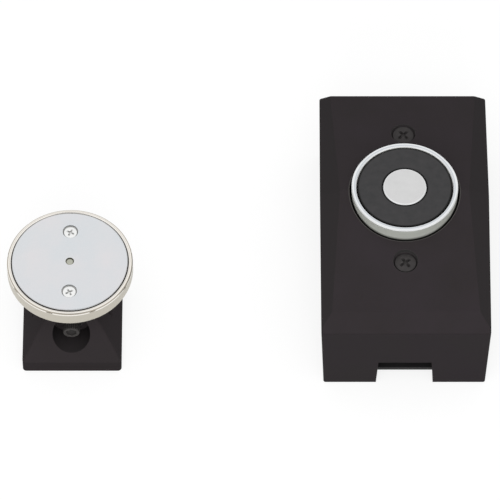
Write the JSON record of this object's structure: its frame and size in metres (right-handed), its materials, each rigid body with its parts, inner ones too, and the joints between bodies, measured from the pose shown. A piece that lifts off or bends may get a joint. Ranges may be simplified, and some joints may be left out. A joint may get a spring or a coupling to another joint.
{
  "type": "electromagnetic door holder",
  "caption": "Electromagnetic door holder: bevelled wall box with a round pot magnet and a cable notch, and a tilting armature disc on a slotted pyramid base for the door.",
  "frame": {"origin": "where the magnet's axis meets the wall plane, midway between the two wall screw holes", "axes": "+Z out of the wall along the magnet's axis, +Y to the cover's end away from its cable notch, +X to the right seen from the front; the armature unit lies beside it at -X on the same plane"},
  "size_m": [0.2009, 0.1179, 0.0539],
  "materials": {
    "charcoal_paint": "satin charcoal paint",
    "black_steel": "black oxide",
    "plated_steel": "bright zinc plating",
    "magnet_steel": "fine turned, nickel plated",
    "potting_resin": "matt cast resin",
    "spool_plastic": "moulded",
    "copper_wire": "enamelled copper",
    "lead_insulation": "smooth insulation",
    "board_laminate": "green resist",
    "device_plastic": "moulded",
    "earth_green": "green lacquer",
    "nickel_cup": "warm nickel plating",
    "zinc_plate": "blue bright zinc plating",
    "olive_pin": "dull plating"
  },
  "bodies": {
    "fixed_units": {"cover": "charcoal_paint", "armature_base": "charcoal_paint", "mounting_plate": "black_steel", "cover_screws": "black_steel", "pivot_screw": "black_steel", "pivot_washer": "black_steel", "pivot_spring_washer": "black_steel", "cover_standoffs": "plated_steel", "magnet_bracket": "plated_steel", "bracket_rivets": "plated_steel", "magnet_bolt": "plated_steel", "magnet_lock_washer": "plated_steel", "board_spacers": "plated_steel", "board_screws": "plated_steel", "terminal_screws": "plated_steel", "magnet_pot": "magnet_steel", "magnet_core": "magnet_steel", "potting_ring": "potting_resin", "coil_bobbin": "spool_plastic", "lead_bush": "spool_plastic", "coil_winding": "copper_wire", "coil_leads": "lead_insulation", "circuit_board": "board_laminate", "rectifier": "device_plastic", "terminal_block": "device_plastic", "earth_screw": "earth_green"},
    "armature_head": {"swivel_post": "black_steel", "armature_cup": "nickel_cup", "armature_plate": "zinc_plate", "armature_screws": "plated_steel", "centre_pin": "olive_pin"}
  },
  "joints": [
    {"name": "armature_tilt", "type": "hinge", "parent": "fixed_units", "child": "armature_head", "pos_m": [-0.1394, -0.0362, 0.0185], "axis": [0, 1, 0], "range_deg": [-60, 60]}
  ]
}
